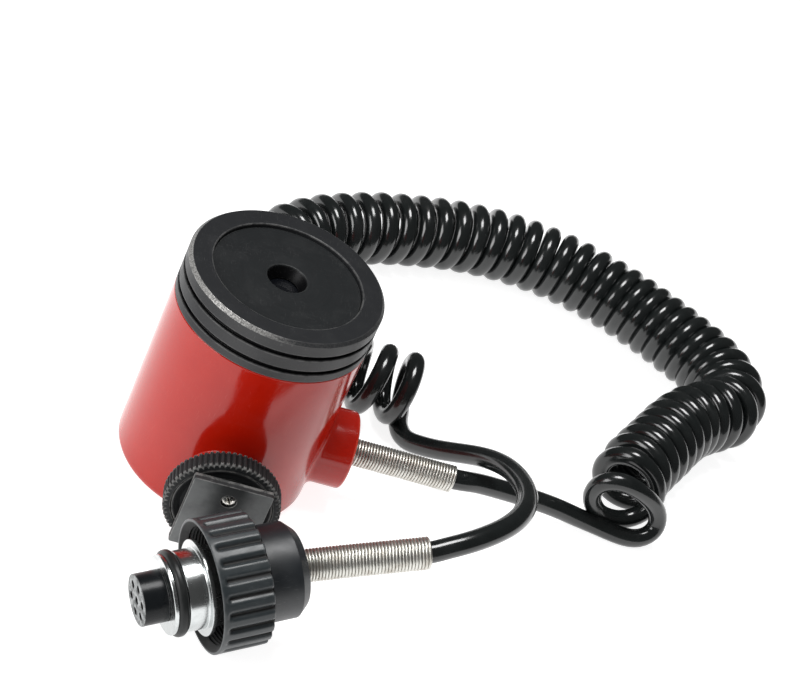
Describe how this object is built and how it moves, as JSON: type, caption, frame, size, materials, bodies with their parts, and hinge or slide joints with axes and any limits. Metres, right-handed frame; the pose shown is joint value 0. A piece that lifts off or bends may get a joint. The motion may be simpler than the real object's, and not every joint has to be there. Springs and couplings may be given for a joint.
{
  "type": "waterproof slave flash sensor with curly cord",
  "caption": "Round sealed housing with a light sensor behind a dark front, an accessory shoe with locking ring, and a curly cord to a round multi-pole plug with coupling nut",
  "frame": {"origin": "middle of the housing's flat foot, on the surface that it stands on", "axes": "+Z is the housing's axis, from the foot to the dark front with the sensor; -Y is the way the accessory shoe points; +X is the way the cord boss points"},
  "size_m": [0.1742, 0.1915, 0.0581],
  "materials": {
    "red_plastic": "glossy moulded red plastic",
    "black_aluminium": "satin black anodised, worn at the front edge",
    "black_rubber": "greased black rubber",
    "window_glass": "clear, slightly tinted",
    "black_plastic": "satin black",
    "board_green": "green board",
    "sensor_can": "plain can",
    "steel": "bright drawn wire and plated screws",
    "shoe_black": "satin black anodised",
    "cord_black": "glossy black jacket",
    "plug_chrome": "polished plating",
    "insert_black": "glossy black",
    "contact_brass": "plated sockets"
  },
  "bodies": {
    "housing": {"housing_shell": "red_plastic", "front_ring": "black_aluminium", "front_seal": "black_rubber", "front_disc": "black_aluminium", "window_lens": "window_glass", "board_holder": "black_plastic", "sensor_board": "board_green", "light_sensor": "sensor_can", "holder_clip": "steel", "cord_gland": "black_plastic", "housing_spring": "steel", "shoe_stem": "shoe_black", "shoe_foot": "shoe_black", "foot_screws": "steel", "housing_lead": "cord_black", "coil_cord": "cord_black", "plug_lead": "cord_black", "plug_spring": "steel", "plug_backshell": "black_plastic", "plug_body": "plug_chrome", "plug_oring": "black_rubber", "plug_insert": "insert_black", "plug_contacts": "contact_brass"},
    "washer": {"lock_washer": "shoe_black"},
    "ring": {"lock_ring": "shoe_black"},
    "nut": {"plug_nut": "black_plastic"}
  },
  "joints": [
    {"name": "ring_travel", "type": "slide", "parent": "housing", "child": "washer", "axis": [0, -1, 0], "range_m": [-0.0012, 0]},
    {"name": "ring_turn", "type": "hinge", "parent": "washer", "child": "ring", "pos_m": [0, -0.03, 0.0139], "axis": [0, -1, 0], "range_deg": [-432, 0]},
    {"name": "nut_turn", "type": "hinge", "parent": "housing", "child": "nut", "pos_m": [0.00099, -0.05807, 0.01574], "axis": [0.897, 0.3863, 0.2147], "continuous": true}
  ],
  "couplings": [
    {"joint": "ring_travel", "follows": "ring_turn", "m_per_rad": 0.00015915}
  ]
}
